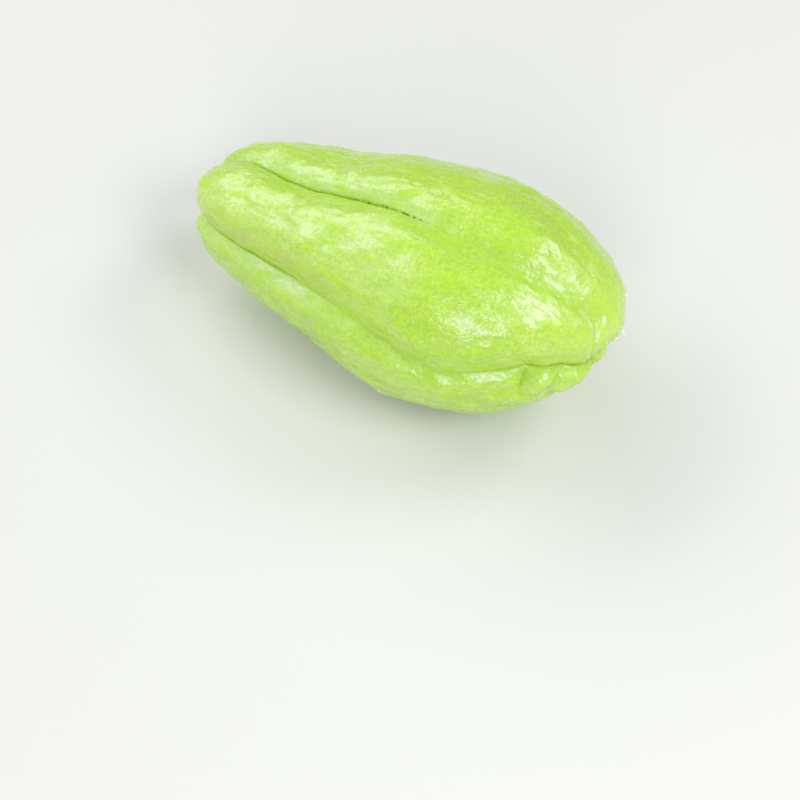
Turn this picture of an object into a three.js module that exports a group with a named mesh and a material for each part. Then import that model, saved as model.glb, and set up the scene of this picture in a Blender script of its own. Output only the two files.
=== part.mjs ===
// A chayote squash, lying on its side on a flat surface.
//
// One fruit, grown as one piece: a pear-shaped body of five lobes parted by
// five lengthwise furrows. The stem end is the narrow one, at -X, with the
// corky stub of the stalk in a shallow pit. The blossom end is the broad one,
// at +X, where the furrows run together into a puckered mouth set low and
// towards the front. Lengths are millimetres, angles are degrees and +Z is up.
//
// The skin is swept by two parameters. "along" runs from 0 at the stem end to
// 1 at the blossom end. "around" is the angle about the fruit's axis: 0 is up,
// 90 is the front (-Y), 180 is down and 270 is the back.
import * as THREE from 'three';

// The pear-shaped body.
const LENGTH = 166;
const NECK_RADIUS = 34.2;
const BELLY_RADIUS = 46.4;
const NECK_UNTIL = 0.2;
const BELLY_FROM = 0.845;
const OVAL = 0.05;
const OVAL_TOWARDS = 80;

// How blunt the two ends are (0.5 is a round end, more is more pointed). The
// blossom end is more pointed on the side that its mouth leans towards.
const STEM_END_POWER = 0.6;
const BLOSSOM_END_POWER = 1.11;
const MOUTH_TOWARDS = 125;
const MOUTH_SKEW = 0.3;
const MOUTH_OFFSET = 9;
const MOUTH_OFFSET_POWER = 5;
const BODY_BOW = 1.3;

// How the fruit lies: its axis climbs towards the blossom end, and the lowest
// lobe is flattened where it bears on the surface below.
const AXIS_TILT = 6.2;
const AXIS_HEIGHT = 34.9;
const AXIS_SHIFT = { x: 0.24, y: 1.85 };

// The five furrows, in order of their angle. Each list holds values at even
// places from the stem end to the blossom end: where the furrow runs, how deep
// its soft valley is, how deep the narrow crease at the bottom of the valley
// is, and how far the valley reaches before the furrow and after it. A hook is
// the angle that a furrow turns through close to the mouth.
const FURROWS = [
  {
    around: [-14, -9, 3.5, 6.5, 7.6, 10, 12.6, 7.7, -5],
    hook: 48,
    valley: [3.0, 3.8, 3.4, 2.8, 1.6],
    crease: [0.5, 1.0, 1.1, 1.2, 1.0, 0.4, 0.0, 0.0, 0.5],
    reachBefore: [5.5, 5.5, 5.5, 6, 3],
    reachAfter: [8, 8, 8, 8, 2.5],
  },
  {
    around: [66, 69.5, 70, 80.5, 62],
    hook: 0,
    valley: [3.0, 4.0, 3.2, 2.6, 3.0],
    crease: [0.5, 0.7, 0.8, 0.4, 0.2, 0.2, 0.2, 0.8, 1.2],
    reachBefore: [7.5, 7.5],
    reachAfter: [3.6, 3.6],
  },
  {
    around: [146, 145, 143, 143, 146],
    hook: 0,
    valley: [3.0, 3.5, 3.0, 2.6, 2.6],
    crease: [0.5, 0.8, 0.6, 0.6, 0.8],
    reachBefore: [6.5, 6.5],
    reachAfter: [6.5, 6.5],
  },
  {
    around: [214, 214, 214, 208, 200],
    hook: 0,
    valley: [3.0, 3.2, 2.6, 2.4, 2.6],
    crease: [0.5, 0.8, 0.6, 0.6, 0.8],
    reachBefore: [6.5, 6.5],
    reachAfter: [6.5, 6.5],
  },
  {
    around: [284, 284, 282, 270, 252],
    hook: 0,
    valley: [3.0, 4.0, 3.4, 2.6, 2.6],
    crease: [0.5, 1.2, 0.8, 0.6, 0.8],
    reachBefore: [6.5, 6.5],
    reachAfter: [8, 8],
  },
];
const HOOK_FROM = 0.97;
const CREASE_HALF_WIDTH = 1.6;
const BLEND_POWER = 4;

// How far the lobe after each furrow stands out from the even body, at the
// stem end, a quarter, half and three quarters of the way, and the blossom end.
const LOBE_SWELL = [
  [0.35, 0, 0, 0, 0],
  [-2.7, -1.2, 1.2, 0, -0.8],
  [0.8, 1.2, -3.6, -1.2, -2.0],
  [0, 0, -0.2, -0.6, -0.8],
  [-0.4, -0.5, -0.1, -0.4, 1.8],
];
const LOBE_SHOULDER_POWER = 4;
const LOBE_FADE = 2.5;

// Close to the mouth the front lobe's lip stands over the top lobe beside it.
const LIP = {
  step: 1.6,
  reach: 13,
  from: 0.93,
  full: 0.97,
  sharpness: 0.9,
  fadeRadius: 4,
};

// Short ridges and folds beside the mouth and on the front of the lowest lobe:
// where each starts and ends, its height (a fold's is negative) and its half
// width. A skin distance lengthwise is the turn of the sweep times
// MERIDIAN_RADIUS.
const MERIDIAN_RADIUS = 68;
const RIDGES = [
  {
    from: { along: 0.898, around: 87 },
    to: { along: 0.936, around: 74 },
    height: 2.5,
    halfWidth: 4.8,
  },
  {
    from: { along: 0.96, around: 84 },
    to: { along: 0.972, around: 84 },
    height: 1.6,
    halfWidth: 4.5,
  },
  {
    from: { along: 0.894, around: 71 },
    to: { along: 0.872, around: 94 },
    height: -2.2,
    halfWidth: 2.6,
  },
  {
    from: { along: 0.948, around: 69.5 },
    to: { along: 0.918, around: 97 },
    height: -1.9,
    halfWidth: 3,
  },
  {
    from: { along: 0.758, around: 101 },
    to: { along: 0.822, around: 91 },
    height: -0.7,
    halfWidth: 2.6,
  },
  {
    from: { along: 0.822, around: 91 },
    to: { along: 0.868, around: 90 },
    height: -0.7,
    halfWidth: 2.6,
  },
];
const RIDGE_END_SHARE = 0.15;

// The pits at the two ends and the stalk stub that stands in the stem pit.
const STEM_PIT = { depth: 1.5, radius: 10 };
const MOUTH_PIT = { depth: 2, radius: 9 };
const STALK_STUB = { height: 4.2, radius: 4.4, edgePower: 4 };

// The slow unevenness of the grown skin: waves along, waves around, their
// phase and their height.
const WAVES = [
  { along: 2.6, around: 2, phase: 0.4, height: 0.35 },
  { along: 3.7, around: -3, phase: 1.9, height: 0.3 },
  { along: 1.6, around: 5, phase: 2.7, height: 0.25 },
];

// How finely the skin is swept. Rows crowd towards the two ends and columns
// crowd towards the furrows.
const ROWS = 82;
const COLUMNS_PER_LOBE = 14;
const ROW_CROWDING = 0.6;
const COLUMN_CROWDING = 0.55;
const SLOPE_STEP = 1e-4;
const SWEEP_MARGIN = 1e-6;

const SKIN = { color: 0xb5df50, roughness: 0.38, metalness: 0 };

const TURN = 2 * Math.PI;
const radians = THREE.MathUtils.degToRad;

// A smooth curve through evenly spaced values, read at 0 to 1.
function valueAlong(values, along) {
  const last = values.length - 1;
  const scaled = THREE.MathUtils.clamp(along, 0, 1) * last;
  const index = Math.min(Math.floor(scaled), last - 1);
  const part = scaled - index;
  const before = values[Math.max(index - 1, 0)];
  const start = values[index];
  const end = values[index + 1];
  const after = values[Math.min(index + 2, last)];
  const slope = end - before;
  const bend = 2 * before - 5 * start + 4 * end - after;
  const twist = 3 * start - before - 3 * end + after;
  return 0.5 * (2 * start + slope * part + bend * part ** 2 + twist * part ** 3);
}

// The short way round from one angle to another, signed.
function angleBetween(from, to) {
  return THREE.MathUtils.euclideanModulo(to - from + Math.PI, TURN) - Math.PI;
}

// The deepest of several dents, rounded over where two of them meet.
function deepest(depths) {
  const sum = depths.reduce((total, depth) => total + Math.max(depth, 0) ** BLEND_POWER, 0);
  return sum ** (1 / BLEND_POWER);
}

function sweepOf(along) {
  return Math.acos(1 - 2 * along);
}

function alongOf(sweep) {
  return (1 - Math.cos(sweep)) / 2;
}

function furrowAngle(furrow, along) {
  const hooked = furrow.hook * THREE.MathUtils.smoothstep(along, HOOK_FROM, 1);
  return radians(valueAlong(furrow.around, along) + hooked);
}

// The even body: distance from the stem end and radius about the axis.
function bodyAt(sweep, around) {
  const along = alongOf(sweep);
  const widening = THREE.MathUtils.smoothstep(along, NECK_UNTIL, BELLY_FROM);
  const width = THREE.MathUtils.lerp(NECK_RADIUS, BELLY_RADIUS, widening);
  const skew = 1 + MOUTH_SKEW * Math.cos(around - radians(MOUTH_TOWARDS));
  const share = THREE.MathUtils.smoothstep(along, 0, 1);
  const power = THREE.MathUtils.lerp(STEM_END_POWER, BLOSSOM_END_POWER * skew, share);
  return {
    along,
    distance: LENGTH * along,
    radius: width * Math.max(Math.sin(sweep), 0) ** power,
  };
}

// The outward direction of the even body, lengthwise and radially.
function bodyNormal(sweep, around) {
  const lowest = Math.max(sweep - SLOPE_STEP, SWEEP_MARGIN);
  const highest = Math.min(sweep + SLOPE_STEP, Math.PI - SWEEP_MARGIN);
  const before = bodyAt(Math.min(lowest, Math.PI - SWEEP_MARGIN), around);
  const after = bodyAt(Math.max(highest, SWEEP_MARGIN), around);
  const run = after.distance - before.distance;
  const rise = after.radius - before.radius;
  const length = Math.hypot(run, rise);
  return { lengthwise: -rise / length, radial: run / length };
}

function swellOfLobes(sweep, around, along) {
  const fade = Math.min(LOBE_FADE * Math.sin(sweep), 1);
  return FURROWS.reduce((total, furrow, index) => {
    const start = furrowAngle(furrow, along);
    const end = furrowAngle(FURROWS[(index + 1) % FURROWS.length], along);
    const span = THREE.MathUtils.euclideanModulo(end - start, TURN);
    const across = THREE.MathUtils.euclideanModulo(around - start, TURN) / span;
    if (across > 1) return total;
    const crown = 1 - (2 * across - 1) ** LOBE_SHOULDER_POWER;
    return total + fade * crown * valueAlong(LOBE_SWELL[index], along);
  }, 0);
}

// The signed distance over the skin from a furrow.
function sideOfFurrow(furrow, around, along, radius) {
  return radius * angleBetween(furrowAngle(furrow, along), around);
}

function depthOfFurrows(around, along, radius) {
  const valleys = FURROWS.map((furrow) => {
    const side = sideOfFurrow(furrow, around, along, radius);
    const reach = valueAlong(side < 0 ? furrow.reachBefore : furrow.reachAfter, along);
    return valueAlong(furrow.valley, along) * Math.exp(-((side / reach) ** 2));
  });
  const creases = FURROWS.map((furrow) => {
    const side = sideOfFurrow(furrow, around, along, radius);
    return valueAlong(furrow.crease, along) * Math.exp(-Math.abs(side) / CREASE_HALF_WIDTH);
  });
  return deepest(valleys) + deepest(creases);
}

function depthBelowLip(around, along, radius) {
  const side = sideOfFurrow(FURROWS[0], around, along, radius);
  const edge = (1 - Math.tanh(side / LIP.sharpness)) / 2;
  const nearMouth = THREE.MathUtils.smoothstep(along, LIP.from, LIP.full);
  const tipFade = Math.min(radius / LIP.fadeRadius, 1);
  return LIP.step * edge * nearMouth * tipFade * Math.exp(-Math.abs(side) / LIP.reach);
}

function heightOfRidges(sweep, around, radius) {
  return RIDGES.reduce((total, ridge) => {
    const lengthwise = MERIDIAN_RADIUS * (sweep - sweepOf(ridge.from.along));
    const sideways = radius * angleBetween(radians(ridge.from.around), around);
    const runLength = MERIDIAN_RADIUS * (sweepOf(ridge.to.along) - sweepOf(ridge.from.along));
    const runSide = radius * radians(ridge.to.around - ridge.from.around);
    const share = (lengthwise * runLength + sideways * runSide) / (runLength ** 2 + runSide ** 2);
    const part = THREE.MathUtils.clamp(share, 0, 1);
    const away = Math.hypot(lengthwise - part * runLength, sideways - part * runSide);
    const phase = THREE.MathUtils.lerp(RIDGE_END_SHARE, 1 - RIDGE_END_SHARE, part);
    const profile = Math.exp(-((away / ridge.halfWidth) ** 2));
    return total + ridge.height * profile * Math.sin(Math.PI * phase);
  }, 0);
}

function heightAtEnds(along, radius) {
  if (along > 0.5) return -MOUTH_PIT.depth * Math.exp(-((radius / MOUTH_PIT.radius) ** 2));
  const pit = STEM_PIT.depth * Math.exp(-((radius / STEM_PIT.radius) ** 2));
  const stub = STALK_STUB.height * Math.exp(-((radius / STALK_STUB.radius) ** STALK_STUB.edgePower));
  return stub - pit;
}

function heightOfWaves(sweep, around, along) {
  return WAVES.reduce((total, wave) => {
    const angle = TURN * wave.along * along + wave.around * around + wave.phase;
    return total + wave.height * Math.sin(angle) * Math.sin(sweep);
  }, 0);
}

// One point of the skin, in the frame of the lying fruit.
function skinPoint(sweep, around) {
  const body = bodyAt(sweep, around);
  const normal = bodyNormal(sweep, around);
  const relief = swellOfLobes(sweep, around, body.along)
    - depthOfFurrows(around, body.along, body.radius)
    - depthBelowLip(around, body.along, body.radius)
    + heightOfRidges(sweep, around, body.radius)
    + heightAtEnds(body.along, body.radius)
    + heightOfWaves(sweep, around, body.along);
  const oval = 1 + OVAL * Math.cos(2 * (around - radians(OVAL_TOWARDS)));
  const radius = body.radius * oval + relief * normal.radial;
  const offset = MOUTH_OFFSET * body.along ** MOUTH_OFFSET_POWER + BODY_BOW * Math.sin(Math.PI * body.along);
  const lengthwise = body.distance + relief * normal.lengthwise - LENGTH / 2;
  const sideways = -radius * Math.sin(around) - offset * Math.sin(radians(MOUTH_TOWARDS));
  const upwards = radius * Math.cos(around) + offset * Math.cos(radians(MOUTH_TOWARDS));
  const cosTilt = Math.cos(radians(AXIS_TILT));
  const sinTilt = Math.sin(radians(AXIS_TILT));
  const height = sinTilt * lengthwise + cosTilt * upwards + AXIS_HEIGHT;
  return [
    cosTilt * lengthwise - sinTilt * upwards + AXIS_SHIFT.x,
    sideways + AXIS_SHIFT.y,
    Math.max(height, 0),
  ];
}

// The sweep of a row, and the angle of a column of that row.
function rowSweep(row) {
  const share = row / ROWS;
  return Math.PI * (share - (ROW_CROWDING * Math.sin(TURN * share)) / TURN);
}

function columnAngle(column, along) {
  const lobe = Math.floor(column / COLUMNS_PER_LOBE);
  const share = (column % COLUMNS_PER_LOBE) / COLUMNS_PER_LOBE;
  const crowded = share - (COLUMN_CROWDING * Math.sin(TURN * share)) / TURN;
  const start = furrowAngle(FURROWS[lobe], along);
  const next = furrowAngle(FURROWS[(lobe + 1) % FURROWS.length], along);
  const end = lobe + 1 < FURROWS.length ? next : next + TURN;
  return THREE.MathUtils.lerp(start, end, crowded);
}

// The closed skin: a point at each end and rings of points between them.
function fruitGeometry() {
  const columns = FURROWS.length * COLUMNS_PER_LOBE;
  const points = [skinPoint(0, 0)];
  for (let row = 1; row < ROWS; row += 1) {
    const sweep = rowSweep(row);
    for (let column = 0; column < columns; column += 1) {
      points.push(skinPoint(sweep, columnAngle(column, alongOf(sweep))));
    }
  }
  points.push(skinPoint(Math.PI, 0));

  const ring = (row, column) => 1 + (row - 1) * columns + (column % columns);
  const stemTip = 0;
  const blossomTip = points.length - 1;
  const faces = [];
  for (let column = 0; column < columns; column += 1) {
    faces.push(stemTip, ring(1, column + 1), ring(1, column));
    for (let row = 1; row < ROWS - 1; row += 1) {
      const a = ring(row, column);
      const b = ring(row + 1, column);
      const c = ring(row + 1, column + 1);
      const d = ring(row, column + 1);
      faces.push(a, c, b, a, d, c);
    }
    faces.push(ring(ROWS - 1, column), ring(ROWS - 1, column + 1), blossomTip);
  }

  const geometry = new THREE.BufferGeometry();
  geometry.setAttribute('position', new THREE.Float32BufferAttribute(points.flat(), 3));
  geometry.setIndex(faces);
  geometry.computeVertexNormals();
  return geometry;
}

const fruit = new THREE.Mesh(fruitGeometry(), new THREE.MeshStandardMaterial(SKIN));
fruit.name = 'fruit';

const chayote = new THREE.Group();
chayote.name = 'chayote_squash';
chayote.add(fruit);

export default chayote;
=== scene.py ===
import math

import bpy
import numpy as np
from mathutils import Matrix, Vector


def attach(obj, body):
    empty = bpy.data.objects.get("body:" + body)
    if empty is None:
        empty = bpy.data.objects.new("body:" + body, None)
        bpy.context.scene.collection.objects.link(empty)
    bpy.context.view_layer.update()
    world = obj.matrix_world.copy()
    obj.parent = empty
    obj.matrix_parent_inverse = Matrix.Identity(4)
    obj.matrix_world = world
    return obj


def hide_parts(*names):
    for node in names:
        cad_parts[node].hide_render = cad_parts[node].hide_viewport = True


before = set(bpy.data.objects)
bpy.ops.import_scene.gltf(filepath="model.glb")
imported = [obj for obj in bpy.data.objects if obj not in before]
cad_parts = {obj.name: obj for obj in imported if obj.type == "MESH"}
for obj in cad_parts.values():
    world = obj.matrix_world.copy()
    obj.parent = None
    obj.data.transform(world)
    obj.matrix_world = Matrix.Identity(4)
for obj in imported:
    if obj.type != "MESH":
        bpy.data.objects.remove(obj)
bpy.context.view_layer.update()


# --- The fruit -------------------------------------------------------------
# A chayote squash, grown as one piece: five lobes parted by five furrows, with
# a corky stub of the stalk at the narrow end (-X) and a puckered mouth at the
# broad end (+X). It lies on its lowest lobe. Lengths here are millimetres.

LENGTH = 166.0
NECK_RADIUS, BELLY_RADIUS = 34.2, 46.4
NECK_UNTIL, BELLY_FROM = 0.2, 0.845
OVAL, OVAL_TOWARDS = 0.05, math.radians(80)
STEM_END_POWER, BLOSSOM_END_POWER = 0.6, 1.11
MOUTH_TOWARDS, MOUTH_SKEW = math.radians(125), 0.3
MOUTH_OFFSET, MOUTH_OFFSET_POWER = 9.0, 5
BODY_BOW = 1.3
AXIS_TILT, AXIS_HEIGHT = math.radians(6.2), 34.9
AXIS_SHIFT_X, AXIS_SHIFT_Y = 0.24, 1.85

# The five furrows, each described at even places from the stem end to the
# blossom end: its angle round the fruit (0 up, 90 front, 180 down), how far it
# hooks round close to the mouth, the depth of its soft valley, the depth of the
# crease in the valley and of the fine line at the bottom of the crease, and how
# far the valley reaches before the furrow and after it.
FURROWS = [
    {
        "around": [-14, -9, 3.5, 6.5, 7.6, 10, 12.6, 7.7, -5],
        "hook": 48,
        "valley": [3.0, 3.8, 3.4, 2.8, 1.6],
        "crease": [0.5, 1.0, 1.1, 1.2, 1.0, 0.4, 0.0, 0.0, 0.5],
        "line": [0.3, 0.7, 0.8, 0.9, 0.7, 0.2, 0.0, 0.0, 0.0],
        "reach": ([5.5, 5.5, 5.5, 6, 3], [8, 8, 8, 8, 2.5]),
    },
    {
        "around": [66, 69.5, 70, 80.5, 62],
        "hook": 0,
        "valley": [3.0, 4.0, 3.2, 2.6, 3.0],
        "crease": [0.5, 0.7, 0.8, 0.4, 0.2, 0.2, 0.2, 0.8, 1.2],
        "line": [0.4, 0.7, 0.8, 0.3, 0.1, 0.1, 0.1, 0.7, 0.8],
        "reach": ([7.5, 7.5], [3.6, 3.6]),
    },
    {
        "around": [146, 145, 143, 143, 146],
        "hook": 0,
        "valley": [3.0, 3.5, 3.0, 2.6, 2.6],
        "crease": [0.5, 0.8, 0.6, 0.6, 0.8],
        "line": [0.8, 0.9, 0.5, 0.3, 0.8],
        "reach": ([6.5, 6.5], [6.5, 6.5]),
    },
    {
        "around": [214, 214, 214, 208, 200],
        "hook": 0,
        "valley": [3.0, 3.2, 2.6, 2.4, 2.6],
        "crease": [0.5, 0.8, 0.6, 0.6, 0.8],
        "line": [0.8, 0.9, 0.7, 0.3, 0.8],
        "reach": ([6.5, 6.5], [6.5, 6.5]),
    },
    {
        "around": [284, 284, 282, 270, 252],
        "hook": 0,
        "valley": [3.0, 4.0, 3.4, 2.6, 2.6],
        "crease": [0.5, 1.2, 0.8, 0.6, 0.8],
        "line": [0.8, 1.0, 0.4, 0.2, 0.9],
        "reach": ([6.5, 6.5], [8, 8]),
    },
]
HOOK_FROM = 0.97
CREASE_HALF_WIDTH, LINE_HALF_WIDTH = 1.6, 0.6

# How far each lobe stands out, at five even places. Each lobe follows the furrow
# of the same number.
LOBE_SWELL = [
    [0.35, 0, 0, 0, 0],
    [-2.7, -1.2, 1.2, 0, -0.8],
    [0.8, 1.2, -3.6, -1.2, -2.0],
    [0, 0, -0.2, -0.6, -0.8],
    [-0.4, -0.5, -0.1, -0.4, 1.8],
]
LOBE_FADE = 2.5

# Short ridges (up) and folds (down) beside the mouth: where each one starts and
# ends as place along and angle, its height and its half width. Each is highest
# half way and falls off to its ends like half a wave that has STREAK_ENDS of its
# length cut off at either end. The front lobe's lip stands over the top one by
# LIP_STEP.
MERIDIAN_RADIUS = 68.0
RIDGES = [
    (0.898, 87, 0.936, 74, 2.5, 4.8),
    (0.960, 84, 0.972, 84, 1.6, 4.5),
    (0.894, 71, 0.872, 94, -2.2, 2.6),
    (0.948, 69.5, 0.918, 97, -1.9, 3.0),
    (0.758, 101, 0.822, 91, -0.7, 2.6),
    (0.822, 91, 0.868, 90, -0.7, 2.6),
]
STREAK_ENDS = 0.15
LIP_STEP, LIP_REACH, LIP_FROM, LIP_FULL = 1.6, 13.0, 0.93, 0.97
LIP_SHARPNESS, LIP_FADE_RADIUS = 0.9, 4.0
STEM_PIT_DEPTH, STEM_PIT_RADIUS = 1.5, 10.0
MOUTH_PIT_DEPTH, MOUTH_PIT_RADIUS = 2.0, 9.0
STUB_HEIGHT, STUB_RADIUS = 4.2, 4.4

# Slow unevenness of the growth: waves along the fruit, turns round it, phase
# and height.
WAVES = [(2.6, 2, 0.4, 0.35), (3.7, -3, 1.9, 0.3), (1.6, 5, 2.7, 0.25)]


def value_along(values, along):
    """A smooth curve through evenly spaced values, read at 0 to 1."""
    values = np.asarray(values, float)
    last = len(values) - 1
    scaled = np.clip(along, 0, 1) * last
    index = np.minimum(scaled.astype(int), last - 1)
    part = scaled - index
    before, start = values[np.maximum(index - 1, 0)], values[index]
    end, after = values[index + 1], values[np.minimum(index + 2, last)]
    bend = 2 * before - 5 * start + 4 * end - after
    twist = 3 * start - before - 3 * end + after
    return 0.5 * (2 * start + (end - before) * part + bend * part**2 + twist * part**3)


def smooth_step(value, low=0.0, high=1.0):
    """Rises from 0 to 1 between two values, without a corner at either."""
    share = np.clip((value - low) / (high - low), 0, 1)
    return share * share * (3 - 2 * share)


def angle_between(start, end):
    """The short way round from one angle to another, in radians."""
    return (end - start + math.pi) % (2 * math.pi) - math.pi


def deepest(depths):
    """The deepest of several dents, rounded over where two of them meet."""
    return sum(np.maximum(depth, 0) ** 4 for depth in depths) ** 0.25


def along_of(sweep):
    """Place along the fruit, 0 to 1, of the sweep's own angle, 0 to pi."""
    return (1 - np.cos(sweep)) / 2


def sweep_of(along):
    """The sweep's angle at a place along the fruit."""
    return math.acos(1 - 2 * along)


def body_at(sweep, around):
    """The even body: distance from the stem end and radius about the axis."""
    along = along_of(sweep)
    widening = smooth_step(along, NECK_UNTIL, BELLY_FROM)
    width = NECK_RADIUS + (BELLY_RADIUS - NECK_RADIUS) * widening
    blossom = BLOSSOM_END_POWER * (1 + MOUTH_SKEW * np.cos(around - MOUTH_TOWARDS))
    power = STEM_END_POWER + (blossom - STEM_END_POWER) * smooth_step(along)
    return LENGTH * along, width * np.maximum(np.sin(sweep), 0) ** power


def furrow_angles(along):
    """The angle of each furrow, with its hook close to the mouth."""
    near_mouth = smooth_step(along, HOOK_FROM, 1)
    return [np.radians(value_along(f["around"], along) + f["hook"] * near_mouth) for f in FURROWS]


def furrow_sides(sweep, around, radius):
    """The signed distance over the skin from each furrow, in mm."""
    return [angle_between(angle, around) * radius for angle in furrow_angles(along_of(sweep))]


def streak(sweep, around, radius, ridge):
    """The height of one short ridge, or of a fold where its height is negative."""
    place, angle, end_place, end_angle, rise, half_width = ridge
    lengthwise = MERIDIAN_RADIUS * (sweep - sweep_of(place))
    sideways = radius * angle_between(math.radians(angle), around)
    run_length = MERIDIAN_RADIUS * (sweep_of(end_place) - sweep_of(place))
    run_side = radius * math.radians(end_angle - angle)
    share = (lengthwise * run_length + sideways * run_side) / (run_length**2 + run_side**2)
    part = np.clip(share, 0, 1)
    away = np.hypot(lengthwise - part * run_length, sideways - part * run_side)
    fade = np.sin(math.pi * (STREAK_ENDS + (1 - 2 * STREAK_ENDS) * part))
    return rise * np.exp(-((away / half_width) ** 2)) * fade


def grown_relief(sweep, around, radius):
    """Height of the lobes, furrows, knobs, folds and pits over the even body."""
    along = along_of(sweep)
    angles = furrow_angles(along)
    sides = furrow_sides(sweep, around, radius)
    height = np.zeros(np.broadcast(sweep, around).shape)

    fade = np.minimum(LOBE_FADE * np.sin(sweep), 1)
    for index, swell in enumerate(LOBE_SWELL):
        start, end = angles[index], angles[(index + 1) % len(angles)]
        across = ((around - start) % (2 * math.pi)) / ((end - start) % (2 * math.pi))
        crown = np.where(across <= 1, 1 - (2 * across - 1) ** 4, 0)
        height += fade * crown * value_along(swell, along)

    valleys, creases = [], []
    for furrow, side in zip(FURROWS, sides):
        before, after = (value_along(reach, along) for reach in furrow["reach"])
        falloff = np.exp(-((side / np.where(side < 0, before, after)) ** 2))
        valleys.append(value_along(furrow["valley"], along) * falloff)
        creases.append(value_along(furrow["crease"], along) * np.exp(-np.abs(side) / CREASE_HALF_WIDTH))
    height -= deepest(valleys) + deepest(creases)

    below_lip = 0.5 * (1 - np.tanh(sides[0] / LIP_SHARPNESS)) * np.exp(-np.abs(sides[0]) / LIP_REACH)
    lip_part = smooth_step(along, LIP_FROM, LIP_FULL) * np.clip(radius / LIP_FADE_RADIUS, 0, 1)
    height -= LIP_STEP * lip_part * below_lip

    for ridge in RIDGES:
        height += streak(sweep, around, radius, ridge)

    mouth_pit = MOUTH_PIT_DEPTH * np.exp(-((radius / MOUTH_PIT_RADIUS) ** 2))
    stem_pit = STEM_PIT_DEPTH * np.exp(-((radius / STEM_PIT_RADIUS) ** 2))
    stub = STUB_HEIGHT * np.exp(-((radius / STUB_RADIUS) ** 4))
    height += np.where(along > 0.5, -mouth_pit, stub - stem_pit)

    for cycles, turns, phase, rise in WAVES:
        height += rise * np.sin(2 * math.pi * cycles * along + turns * around + phase) * np.sin(sweep)
    return height


def wave_field(points, wavelengths, seed, count=48):
    """Even random hills of unit spread: a sum of waves, their lengths in mm per axis."""
    random = np.random.default_rng(seed)
    ways = random.normal(size=(count, 3))
    ways /= np.linalg.norm(ways, axis=1, keepdims=True)
    ways *= 2 * math.pi * random.uniform(0.75, 1.3, (count, 1)) / np.asarray(wavelengths, float)
    phases = random.uniform(0, 2 * math.pi, count)
    total = 0
    for way, phase in zip(ways, phases):
        total = total + np.cos(points @ way + phase)
    return total * math.sqrt(2 / count)


# The skin's own unevenness, finer than the solid shows: slow dents, crinkles
# with sharp valleys, and puckers that gather at the mouth. Each dent or crinkle
# is a height, the wavelengths of its hills along the fruit and across it, and a
# seed. The fold lines are the sharp bottoms of two folds, the shoulder is that
# of the lowest lobe, and the notches part the knobs beside and below the mouth.
# They are all written like the ridges.
DENTS = [(0.25, 30, 26, 3), (0.18, 14, 10, 5), (0.09, 9.0, 6.0, 8)]
CRINKLES = [(0.10, 10.0, 4.5, 11), (0.02, 6.0, 3.0, 13)]
CRINKLE_ROUNDING, CRINKLE_MEAN = 0.25, 0.85
FOLD_LINES = [(0.894, 71, 0.872, 94, -1.3, 1.0), (0.948, 69.5, 0.918, 97, -0.7, 0.9)]
SHOULDER = (0.790, 93, 0.866, 93, 0.8, 5.0)
NOTCHES = [(0.918, 92, 0.930, 135, -2.0, 2.6), (0.986, 205, 0.984, 245, -1.8, 3.5)]
PUCKER_DEPTH, PUCKER_COUNT, PUCKER_REACH, PUCKER_CENTRE = 0.35, 15, 8.0, 6.0
PUCKER_SWAY, PUCKER_SWAY_LENGTH, PUCKER_SWAY_SEED, PUCKER_SWAY_WAVES = 1.2, 18, 31, 12
TIP_SMOOTHING = 3.0


def skin_relief(sweep, around, distance, radius):
    """The fine relief that is laid over the grown one."""
    along = along_of(sweep)
    even = np.stack([distance + 0 * around, radius * np.sin(around), radius * np.cos(around)], -1)
    height = 0
    for rise, lengthways, crossways, seed in DENTS:
        height = height + rise * wave_field(even, (lengthways, crossways, crossways), seed)
    for rise, lengthways, crossways, seed in CRINKLES:
        field = wave_field(even, (lengthways, crossways, crossways), seed)
        height = height + rise * (np.sqrt(field**2 + CRINKLE_ROUNDING**2) - CRINKLE_MEAN)

    near_mouth = np.exp(-((radius / PUCKER_REACH) ** 2)) * (along > 0.5)
    sway = wave_field(even, (PUCKER_SWAY_LENGTH,) * 3, PUCKER_SWAY_SEED, PUCKER_SWAY_WAVES)
    puckers = np.sin(PUCKER_COUNT * around + PUCKER_SWAY * sway)
    height = height + PUCKER_DEPTH * near_mouth * puckers * np.clip(radius / PUCKER_CENTRE, 0, 1)
    height = height * np.clip(radius / TIP_SMOOTHING, 0, 1)

    for line in FOLD_LINES + [SHOULDER] + NOTCHES:
        height = height + streak(sweep, around, radius, line)

    sides = furrow_sides(sweep, around, radius)
    lines = [
        value_along(furrow["line"], along) * np.exp(-np.abs(side) / LINE_HALF_WIDTH)
        for furrow, side in zip(FURROWS, sides)
    ]
    return height - deepest(lines)


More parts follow.
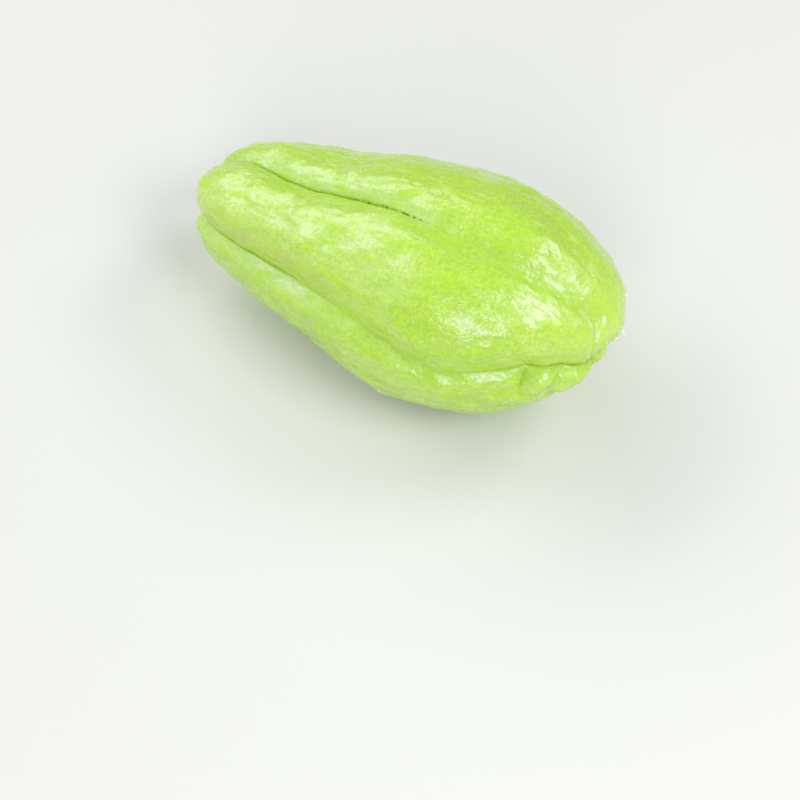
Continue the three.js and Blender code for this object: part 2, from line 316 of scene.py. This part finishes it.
def skin_point(sweep, around):
    """Points of the skin in mm, in the frame of the lying fruit."""
    step, margin = 1e-4, 1e-6
    distance, radius = body_at(sweep, around)
    before = body_at(np.clip(sweep - step, margin, math.pi - margin), around)
    after = body_at(np.clip(sweep + step, margin, math.pi - margin), around)
    run, rise = after[0] - before[0], after[1] - before[1]
    length = np.hypot(run, rise)
    relief = grown_relief(sweep, around, radius) + skin_relief(sweep, around, distance, radius)
    along = along_of(sweep)
    oval = 1 + OVAL * np.cos(2 * (around - OVAL_TOWARDS))
    reach = radius * oval + relief * run / length
    offset = MOUTH_OFFSET * along**MOUTH_OFFSET_POWER + BODY_BOW * np.sin(math.pi * along)
    lengthwise = distance - relief * rise / length - LENGTH / 2
    sideways = -reach * np.sin(around) - offset * math.sin(MOUTH_TOWARDS)
    upwards = reach * np.cos(around) + offset * math.cos(MOUTH_TOWARDS)
    height = math.sin(AXIS_TILT) * lengthwise + math.cos(AXIS_TILT) * upwards + AXIS_HEIGHT
    return np.stack(
        [
            math.cos(AXIS_TILT) * lengthwise - math.sin(AXIS_TILT) * upwards + AXIS_SHIFT_X,
            sideways + AXIS_SHIFT_Y,
            np.maximum(height, 0),
        ],
        -1,
    )


# The sweep over the skin. Rows crowd towards the ends, columns to the furrows.
ROWS, COLUMNS_PER_LOBE = 204, 96
ROW_CROWDING, COLUMN_CROWDING = 0.35, 0.4
MM = 0.001

share = np.linspace(0, 1, ROWS + 1)[1:-1, None]
sweep = math.pi * (share - ROW_CROWDING * np.sin(2 * math.pi * share) / (2 * math.pi))
lobe, column = np.divmod(np.arange(len(FURROWS) * COLUMNS_PER_LOBE), COLUMNS_PER_LOBE)
across = column / COLUMNS_PER_LOBE
across = across - COLUMN_CROWDING * np.sin(2 * math.pi * across) / (2 * math.pi)
starts = furrow_angles(along_of(sweep))
starts = np.concatenate(starts + [starts[0] + 2 * math.pi], axis=1)
start_angle, end_angle = starts[:, lobe], starts[:, lobe + 1]
around = start_angle + (end_angle - start_angle) * across[None, :]

rings = skin_point(sweep, around)
stem_tip = skin_point(np.array([[0.0]]), np.array([[0.0]]))[0]
mouth_tip = skin_point(np.array([[math.pi]]), np.array([[0.0]]))[0]
points = np.concatenate([stem_tip, rings.reshape(-1, 3), mouth_tip]) * MM

columns = rings.shape[1]
ring_index = 1 + np.arange(rings.shape[0])[:, None] * columns + np.arange(columns)[None, :]
next_index = np.roll(ring_index, -1, axis=1)
quads = np.stack([ring_index[:-1], next_index[:-1], next_index[1:], ring_index[1:]], -1)
stem_fan = [(0, int(b), int(a)) for a, b in zip(ring_index[0], next_index[0])]
mouth_fan = [(len(points) - 1, int(a), int(b)) for a, b in zip(ring_index[-1], next_index[-1])]
skin_mesh = bpy.data.meshes.new("fruit_skin")
skin_mesh.from_pydata(points.tolist(), [], quads.reshape(-1, 4).tolist() + stem_fan + mouth_fan)
skin_mesh.shade_smooth()
skin_mesh.update()
fruit_skin = bpy.data.objects.new("fruit_skin", skin_mesh)
bpy.context.collection.objects.link(fruit_skin)


def mark_points(mesh, name, values):
    """Keeps a number per point of the mesh, for its material to read."""
    mesh.attributes.new(name, "FLOAT", "POINT").data.foreach_set("value", values.astype(np.float32))


# What the material reads at each point: how deep it lies in a furrow's valley
# and in the fine line of a furrow or fold, both painted darker as shade, where
# grit has caught in the upper furrow, where it is stub cork, scar of the dried
# flower, the lip's rim painted pale as a highlight, blushed side of the neck or
# open flank. Widths are mm over the skin, the rest places.
VALLEY_FULL_DEPTH, VALLEY_SPREAD = 4.5, 8.0
FOLD_SHARE, FOLD_SPREAD = 0.8, 0.8
GRIT_SPREAD, GRIT_FROM, GRIT_UNTIL = 0.45, (0.38, 0.44), (0.57, 0.62)
CORK_EDGE, SCAR_EDGE, FLANK_EDGE = (3.6, 5.4), (1.2, 2.6), (14.0, 30.0)
LIP_RIM_AT, LIP_RIM_SPREAD, LIP_RIM_FROM, LIP_RIM_END = 1.2, 1.3, (0.93, 0.96), 3.0
BLUSH_AT, BLUSH_SPREAD, BLUSH_FROM, BLUSH_UNTIL = -5.0, 5.0, (0.04, 0.12), (0.35, 0.55)


def hump(side, at, spread):
    """1 on a line beside a furrow, fading to both sides of it."""
    return np.exp(-(((side - at) / spread) ** 2))


distance, radius = body_at(sweep, around)
along = along_of(sweep) + 0 * around
sides = furrow_sides(sweep, around, radius)
valley = deepest(
    [
        value_along(furrow["valley"], along) / VALLEY_FULL_DEPTH * hump(side, 0, VALLEY_SPREAD)
        for furrow, side in zip(FURROWS, sides)
    ]
)
furrow_lines = [
    value_along(furrow["line"], along) * hump(side, 0, LINE_HALF_WIDTH)
    for furrow, side in zip(FURROWS, sides)
]
fold_lines = [
    streak(sweep, around, radius, line[:4] + (-FOLD_SHARE * line[4], FOLD_SPREAD)) for line in FOLD_LINES
]
crease = deepest(furrow_lines + fold_lines)
grit = hump(sides[0], 0, GRIT_SPREAD) * smooth_step(along, *GRIT_FROM)
grit = grit * (1 - smooth_step(along, *GRIT_UNTIL))
cork = np.where(along < 0.5, 1 - smooth_step(radius, *CORK_EDGE), 0)
scar = np.where(along > 0.5, 1 - smooth_step(radius, *SCAR_EDGE), 0)
# The lip's rim, which the material paints pale as a highlight.
lip = hump(sides[0], LIP_RIM_AT, LIP_RIM_SPREAD) * smooth_step(along, *LIP_RIM_FROM)
lip = lip * np.clip(radius / LIP_RIM_END, 0, 1)
blush = hump(sides[1], BLUSH_AT, BLUSH_SPREAD) * smooth_step(along, *BLUSH_FROM)
blush = blush * (1 - smooth_step(along, *BLUSH_UNTIL))
flank = smooth_step(radius, *FLANK_EDGE)
for name, values, at_stem, at_mouth in (
    ("valley", valley, 1, 1),
    ("crease", crease, 0, 0.5),
    ("grit", grit, 0, 0),
    ("flank", flank, 0, 0),
    ("blush", blush, 0, 0),
    ("lip", lip, 0, 0),
    ("cork", cork, 1, 0),
    ("scar", scar, 0, 1),
    ("along", along, 0, 1),
):
    mark_points(skin_mesh, name, np.concatenate([[at_stem], values.ravel(), [at_mouth]]))


# Fresh waxy rind over pale flesh: a thin dull wax bloom on a green skin that
# light enters a little way. The furrows are painted deeper green as their
# shade, the lobes are paler in lengthwise streaks of bloom that partly stand
# in for painted sheen, and the wax breaks every highlight into small crinkled
# patches.
# The deep green is the random grain and also the painted shade of the valleys.
RIND_GREEN, RIND_PALE_AND_SHEEN, RIND_DEEP = "#b7dc42", "#d4ed7c", "#9cc934"
BLUSH_OLIVE = "#c9c455"
BLOSSOM_END_YELLOW = "#c6e468"
CORK_BROWN, CORK_DARK = "#b29a66", "#7d6a45"
SCAR_BROWN = "#b98455"
# The crease green is painted shade in the crease lines; the grit brown is real grit.
CREASE_SHADE_GREEN, GRIT_BROWN = "#6f9420", "#4a4a1c"
# The lenticels' own pale, also laid on the lip's rim as a painted highlight.
LENTICEL_AND_LIP_HIGHLIGHT_PALE = "#e4f3b8"
WAX_SHEEN = "#d6b4ff"


def linear(colour):
    """An sRGB hex colour as the linear values that a shader takes."""
    parts = [int(colour[i : i + 2], 16) / 255 for i in (1, 3, 5)]
    return [c / 12.92 if c <= 0.04045 else ((c + 0.055) / 1.055) ** 2.4 for c in parts] + [1.0]


def add_node(tree, kind, inputs=None, **settings):
    """Adds a node, sets its settings and fills or links its inputs."""
    node = tree.nodes.new(kind)
    for name, value in settings.items():
        setattr(node, name, value)
    for name, value in (inputs or {}).items():
        if isinstance(value, bpy.types.NodeSocket):
            tree.links.new(value, node.inputs[name])
        else:
            node.inputs[name].default_value = value
    return node


def ramp(tree, value, low, high, at_low, at_high):
    """A value spread evenly from one range to another, and held outside it."""
    node = add_node(tree, "ShaderNodeMapRange", {"Value": value, 1: low, 2: high, 3: at_low, 4: at_high})
    return node.outputs[0]


def product(tree, first, second):
    """Two values multiplied."""
    node = add_node(tree, "ShaderNodeMath", {0: first, 1: second}, operation="MULTIPLY")
    return node.outputs[0]


def noise(tree, place, scale, detail, roughness=0.5, distortion=0.0):
    """A noise pattern whose cells are 1 / scale metres wide."""
    inputs = {"Vector": place, "Scale": scale, "Detail": detail}
    inputs.update({"Roughness": roughness, "Distortion": distortion})
    return add_node(tree, "ShaderNodeTexNoise", inputs).outputs["Fac"]


def blend(tree, share, under, over):
    """One colour laid over another, as far as the share says."""
    node = add_node(tree, "ShaderNodeMix", {0: share, 6: under, 7: over}, data_type="RGBA")
    return node.outputs[2]


waxy_rind = bpy.data.materials.new("waxy_rind")
waxy_rind.use_nodes = True
tree = waxy_rind.node_tree
tree.nodes.clear()

place = add_node(tree, "ShaderNodeTexCoord").outputs["Object"]
lengthwise = add_node(tree, "ShaderNodeMapping", {"Vector": place, "Scale": (0.22, 1, 1)}).outputs["Vector"]
marks = {
    name: add_node(tree, "ShaderNodeAttribute", attribute_name=name).outputs["Fac"]
    for name in ("valley", "crease", "grit", "flank", "blush", "lip", "cork", "scar", "along")
}

# The wax lies in clouds 35 mm wide, pale partly by the bloom's own colour and
# partly as painted sheen. It is missing in blotches 2 mm wide and 6 mm long
# that run with the growth; there the green is deeper and duller.
clouds = noise(tree, place, 28.0, 3.0, roughness=0.55)
blotches = noise(tree, lengthwise, 260.0, 4.0, roughness=0.6)
wax_share = ramp(tree, blotches, 0.39, 0.49, 0.0, 1.0)
bloom_and_sheen_share = product(tree, wax_share, ramp(tree, clouds, 0.38, 0.62, 0.08, 0.5))
rind = blend(tree, bloom_and_sheen_share, linear(RIND_GREEN), linear(RIND_PALE_AND_SHEEN))

# Uneven green in grains of 0.3 to 1.3 mm.
mottle = noise(tree, place, 760.0, 3.0, roughness=0.85)
rind = blend(tree, ramp(tree, mottle, 0.38, 0.66, 0.0, 0.9), rind, linear(RIND_DEEP))

# The side of the neck is a little brownish, the blossom end a little yellow,
# and the valleys of the furrows are painted deeper green as their shade.
rind = blend(tree, product(tree, marks["blush"], 0.3), rind, linear(BLUSH_OLIVE))
rind = blend(tree, ramp(tree, marks["along"], 0.86, 1.0, 0.0, 0.6), rind, linear(BLOSSOM_END_YELLOW))
rind = blend(tree, ramp(tree, marks["valley"], 0.15, 1.0, 0.0, 0.5), rind, linear(RIND_DEEP))

# The rim of the lip beside the mouth is painted pale as a highlight on its
# rounded edge.
rind = blend(tree, product(tree, marks["lip"], 0.7), rind, linear(LENTICEL_AND_LIP_HIGHLIGHT_PALE))

# Lenticels: pale pores 0.5 mm across, about 11 mm apart.
pores = add_node(tree, "ShaderNodeTexVoronoi", {"Vector": place, "Scale": 90.0, "Randomness": 1.0})
pore_share = ramp(tree, pores.outputs["Distance"], 0.03, 0.012, 0.0, 0.35)
rind = blend(tree, pore_share, rind, linear(LENTICEL_AND_LIP_HIGHLIGHT_PALE))

# The line of each crease is painted a darker green as its shade, and dark
# grit has caught in the deepest one, in grains of 0.6 mm.
rind = blend(tree, ramp(tree, marks["crease"], 0.35, 1.1, 0.0, 0.6), rind, linear(CREASE_SHADE_GREEN))
specks = noise(tree, place, 800.0, 1.0)
grit_share = product(tree, ramp(tree, specks, 0.46, 0.56, 0.0, 0.85), marks["grit"])
rind = blend(tree, grit_share, rind, linear(GRIT_BROWN))

# The stub of the stalk is flecked brown cork, the flower's scar is brown.
cork_grain = blend(tree, specks, linear(CORK_DARK), linear(CORK_BROWN))
rind = blend(tree, marks["cork"], rind, cork_grain)
rind = blend(tree, marks["scar"], rind, linear(SCAR_BROWN))

# Fine relief of the wax: grain 1.1 mm wide, and fibres 1.3 mm wide drawn out
# with the growth that fade out at both ends.
grain = noise(tree, place, 600.0, 2.2, roughness=0.6, distortion=0.6)
fibre_height = product(tree, noise(tree, lengthwise, 520.0, 1.5, roughness=0.55), marks["flank"])
grain_sum = add_node(tree, "ShaderNodeMath", {0: fibre_height, 1: 0.6, 2: grain}, operation="MULTIPLY_ADD")
skin_bump = add_node(
    tree, "ShaderNodeBump", {"Strength": 1.0, "Distance": 0.00022, "Height": grain_sum.outputs[0]}
)

# Waxed skin is glossier than the bare blotches and the cork, and no wax lies in
# the creases or on the grit.
dullness = add_node(
    tree,
    "ShaderNodeMath",
    {0: marks["cork"], 1: 0.4, 2: ramp(tree, wax_share, 0.0, 1.0, 0.42, 0.24)},
    operation="MULTIPLY_ADD",
)
grit_free = add_node(tree, "ShaderNodeMath", {0: 1.0, 1: grit_share}, operation="SUBTRACT")
open_skin = product(tree, ramp(tree, marks["crease"], 0.1, 0.6, 1.0, 0.1), grit_free.outputs[0])
wax_gloss = product(tree, ramp(tree, wax_share, 0.0, 1.0, 0.4, 1.0), open_skin)

surface = add_node(
    tree,
    "ShaderNodeBsdfPrincipled",
    {
        "Base Color": rind,
        "Roughness": dullness.outputs[0],
        "IOR": 1.5,
        "Specular IOR Level": wax_gloss,
        "Specular Tint": linear(WAX_SHEEN),
        "Subsurface Weight": 0.45,
        "Subsurface Radius": (1.0, 1.0, 0.3),
        "Subsurface Scale": 0.004,
        "Coat Weight": product(tree, open_skin, 0.22),
        "Coat Roughness": 0.18,
        "Coat IOR": 1.5,
        "Normal": skin_bump.outputs["Normal"],
        "Coat Normal": skin_bump.outputs["Normal"],
    },
)
add_node(tree, "ShaderNodeOutputMaterial", {"Surface": surface.outputs["BSDF"]})
skin_mesh.materials.append(waxy_rind)

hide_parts("fruit")
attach(fruit_skin, "root")


# --- Bristles --------------------------------------------------------------
# The few soft bristles that a nearly smooth chayote still carries, most of
# them round its blossom end. Each grew out of the skin from a broad root and
# tapers to a bent tip.

BRISTLE_WHITE, BRISTLE_GREENISH = "#fbfde8", "#eef5c8"
ROOT_RADIUS, ROOT_SUNK, TAPER = 0.28, 0.35, 0.6
BRISTLE_SIDES, BRISTLE_STEPS = 6, 7

# Place along, angle, length in mm, the way it leans and how far, and the way
# its tip hooks over and how far.
PLACED_BRISTLES = [
    (0.8525, 25.6, 6.0, 101, 1.45, 299, 1.45),
    (0.962, 294, 2.0, 60, 0.35, 60, 0.5),
    (0.969, 290, 1.8, 300, 0.35, 300, 0.3),
    (0.991, 290, 2.8, 20, 0.35, 20, 0.7),
    (0.995, 287, 1.7, 120, 0.35, 120, 0.4),
    (0.997, 318, 1.5, 240, 0.35, 240, 0.3),
    (0.995, 344, 1.3, 200, 0.35, 200, 0.3),
]

# More of them grow on the back, at places drawn from a fixed seed.
SCATTERED_BRISTLES, SCATTER_SEED = 6, 7
SCATTERED_ALONG, SCATTERED_ROUND, SCATTERED_LENGTH = (0.55, 0.985), (225, 285), (1.2, 2.6)
SCATTERED_LEAN, SCATTERED_HOOK = 0.35, 0.6

bristle_random = np.random.default_rng(SCATTER_SEED)
bristles = list(PLACED_BRISTLES)
while len(bristles) < len(PLACED_BRISTLES) + SCATTERED_BRISTLES:
    place_along = bristle_random.uniform(*SCATTERED_ALONG)
    angle = bristle_random.uniform(*SCATTERED_ROUND)
    length, way = bristle_random.uniform(*SCATTERED_LENGTH), bristle_random.uniform(0, 360)
    bristles.append((place_along, angle, length, way, SCATTERED_LEAN, way, SCATTERED_HOOK))


def turned(onward, sidewards, way):
    """The direction over the skin that lies a given turn from the way to the mouth."""
    return math.cos(math.radians(way)) * onward + math.sin(math.radians(way)) * sidewards


def skin_frame(place_along, angle):
    """A point of the skin in mm, its outward normal and the way to the mouth."""
    sweep_here, step = sweep_of(place_along), 0.004
    sweeps = np.array([0.0, step, -step, 0.0, 0.0]) + sweep_here
    angles = np.array([0.0, 0.0, 0.0, step, -step]) + math.radians(angle)
    here, ahead, behind, left, right = (Vector(p) for p in skin_point(sweeps, angles))
    onward = (ahead - behind).normalized()
    outward = (left - right).cross(onward).normalized()
    return here, outward, onward


bristle_points, bristle_faces = [], []
for place_along, angle, length, lean_way, lean, hook_way, hook in bristles:
    root, outward, onward = skin_frame(place_along, angle)
    sidewards = outward.cross(onward).normalized()
    tip_way = turned(onward, sidewards, hook_way)
    direction = (outward + lean * turned(onward, sidewards, lean_way)).normalized()
    centre = root - ROOT_SUNK * outward
    first = len(bristle_points)
    for step in range(BRISTLE_STEPS):
        part = step / BRISTLE_STEPS
        radius_here = ROOT_RADIUS * (1 - part) ** TAPER
        axis_a = direction.orthogonal().normalized()
        axis_b = direction.cross(axis_a)
        for side in range(BRISTLE_SIDES):
            turn = 2 * math.pi * side / BRISTLE_SIDES
            offset = math.cos(turn) * axis_a + math.sin(turn) * axis_b
            bristle_points.append((centre + radius_here * offset) * MM)
        centre = centre + direction * (length + ROOT_SUNK) / BRISTLE_STEPS
        direction = (direction + hook * (1 + 2 * part) / BRISTLE_STEPS * tip_way).normalized()
    bristle_points.append(centre * MM)
    tip = len(bristle_points) - 1
    for step in range(BRISTLE_STEPS - 1):
        for side in range(BRISTLE_SIDES):
            a = first + step * BRISTLE_SIDES + side
            b = first + step * BRISTLE_SIDES + (side + 1) % BRISTLE_SIDES
            bristle_faces.append((a, b, b + BRISTLE_SIDES, a + BRISTLE_SIDES))
    last_ring = first + (BRISTLE_STEPS - 1) * BRISTLE_SIDES
    for side in range(BRISTLE_SIDES):
        bristle_faces.append((last_ring + side, last_ring + (side + 1) % BRISTLE_SIDES, tip))
    bristle_faces.append(tuple(first + side for side in reversed(range(BRISTLE_SIDES))))

bristle_mesh = bpy.data.meshes.new("bristles")
bristle_mesh.from_pydata([tuple(point) for point in bristle_points], [], bristle_faces)
bristle_mesh.shade_smooth()
bristle_mesh.update()
bristle_piece = bpy.data.objects.new("bristles", bristle_mesh)
bpy.context.collection.objects.link(bristle_piece)

# Dried plant hair: pale and dull, and light enters it a little way.
bristle_fibre = bpy.data.materials.new("bristle_fibre")
bristle_fibre.use_nodes = True
tree = bristle_fibre.node_tree
tree.nodes.clear()
place = add_node(tree, "ShaderNodeTexCoord").outputs["Object"]
fleck = noise(tree, place, 1500.0, 1.0)
surface = add_node(
    tree,
    "ShaderNodeBsdfPrincipled",
    {
        "Base Color": blend(tree, fleck, linear(BRISTLE_GREENISH), linear(BRISTLE_WHITE)),
        "Roughness": 0.55,
        "Subsurface Weight": 0.3,
        "Subsurface Scale": 0.0005,
    },
)
add_node(tree, "ShaderNodeOutputMaterial", {"Surface": surface.outputs["BSDF"]})
bristle_mesh.materials.append(bristle_fibre)
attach(bristle_piece, "root")


# --- Floor -----------------------------------------------------------------
# A plain matt table top, pale grey, that the fruit lies on. It only takes its
# shadow and the green light that the fruit throws back.

FLOOR_HALF_SIZE = 3.0
FLOOR_PALE = "#d6d7d4"
floor_mesh = bpy.data.meshes.new("floor")
floor_mesh.from_pydata(
    [
        (-FLOOR_HALF_SIZE, -FLOOR_HALF_SIZE, 0),
        (FLOOR_HALF_SIZE, -FLOOR_HALF_SIZE, 0),
        (FLOOR_HALF_SIZE, FLOOR_HALF_SIZE, 0),
        (-FLOOR_HALF_SIZE, FLOOR_HALF_SIZE, 0),
    ],
    [],
    [(0, 1, 2, 3)],
)
floor = bpy.data.objects.new("floor", floor_mesh)
bpy.context.collection.objects.link(floor)

# Matt painted board: even and pale, with no highlight of its own.
matt_white = bpy.data.materials.new("matt_white")
matt_white.use_nodes = True
floor_shader = matt_white.node_tree.nodes["Principled BSDF"]
floor_shader.inputs["Base Color"].default_value = linear(FLOOR_PALE)
floor_shader.inputs["Roughness"].default_value = 0.9
floor_shader.inputs["Specular IOR Level"].default_value = 0.1
floor_mesh.materials.append(matt_white)


# --- Light -----------------------------------------------------------------
# A dim white tent all round, large soft boxes on the left and right, strong ones
# high on the right and behind the left, small ones in front and behind the right.

world = bpy.data.worlds.new("white_tent")
world.use_nodes = True
world.node_tree.nodes["Background"].inputs["Color"].default_value = linear("#fbfdff")
world.node_tree.nodes["Background"].inputs["Strength"].default_value = 0.23
bpy.context.scene.world = world


def add_soft_box(name, azimuth, elevation, distance, width, height, power):
    """A soft box that faces the fruit from a direction: azimuth 0 is the front."""
    turn, rise = math.radians(azimuth), math.radians(elevation)
    towards = Vector((math.sin(turn) * math.cos(rise), -math.cos(turn) * math.cos(rise), math.sin(rise)))
    lamp = bpy.data.lights.new(name, "AREA")
    lamp.shape = "RECTANGLE"
    lamp.size, lamp.size_y = width, height
    lamp.energy = power
    box = bpy.data.objects.new(name, lamp)
    box.location = Vector((0, 0, 0.04)) + distance * towards
    box.rotation_euler = towards.to_track_quat("Z", "Y").to_euler()
    bpy.context.collection.objects.link(box)


add_soft_box("wide_box_right", 90, 34, 1.0, 1.3, 1.1, 0.6)
add_soft_box("wide_box_left", -70, 28, 1.0, 1.3, 1.1, 5.3)
add_soft_box("strong_box_right", 80, 46, 0.9, 0.42, 0.38, 3.5)
add_soft_box("strong_box_left", -110, 38, 0.9, 1.0, 0.5, 3.8)
add_soft_box("small_box_front", 22, 30, 0.9, 0.36, 0.5, 3.4)
add_soft_box("small_box_back", 143, 43, 0.9, 0.4, 0.3, 2.3)


# --- Camera ----------------------------------------------------------------
# Looks down on the fruit from the front right, past its belly, from about half
# a metre away.

CAMERA_AZIMUTH, CAMERA_ELEVATION = math.radians(29.8), math.radians(55.3)
CAMERA_AIM = Vector((0.02906, -0.05096, 0.037))
CAMERA_DISTANCE = 0.5252
camera_data = bpy.data.cameras.new("camera")
camera_data.sensor_width = 36.0
camera_data.lens = 72.0
camera_data.clip_start = 0.02
camera = bpy.data.objects.new("camera", camera_data)
backward = Vector(
    (
        math.sin(CAMERA_AZIMUTH) * math.cos(CAMERA_ELEVATION),
        -math.cos(CAMERA_AZIMUTH) * math.cos(CAMERA_ELEVATION),
        math.sin(CAMERA_ELEVATION),
    )
)
camera.location = CAMERA_AIM + CAMERA_DISTANCE * backward
camera.rotation_euler = backward.to_track_quat("Z", "Y").to_euler()
bpy.context.collection.objects.link(camera)
bpy.context.scene.camera = camera
bpy.context.scene.view_settings.view_transform = "Standard"
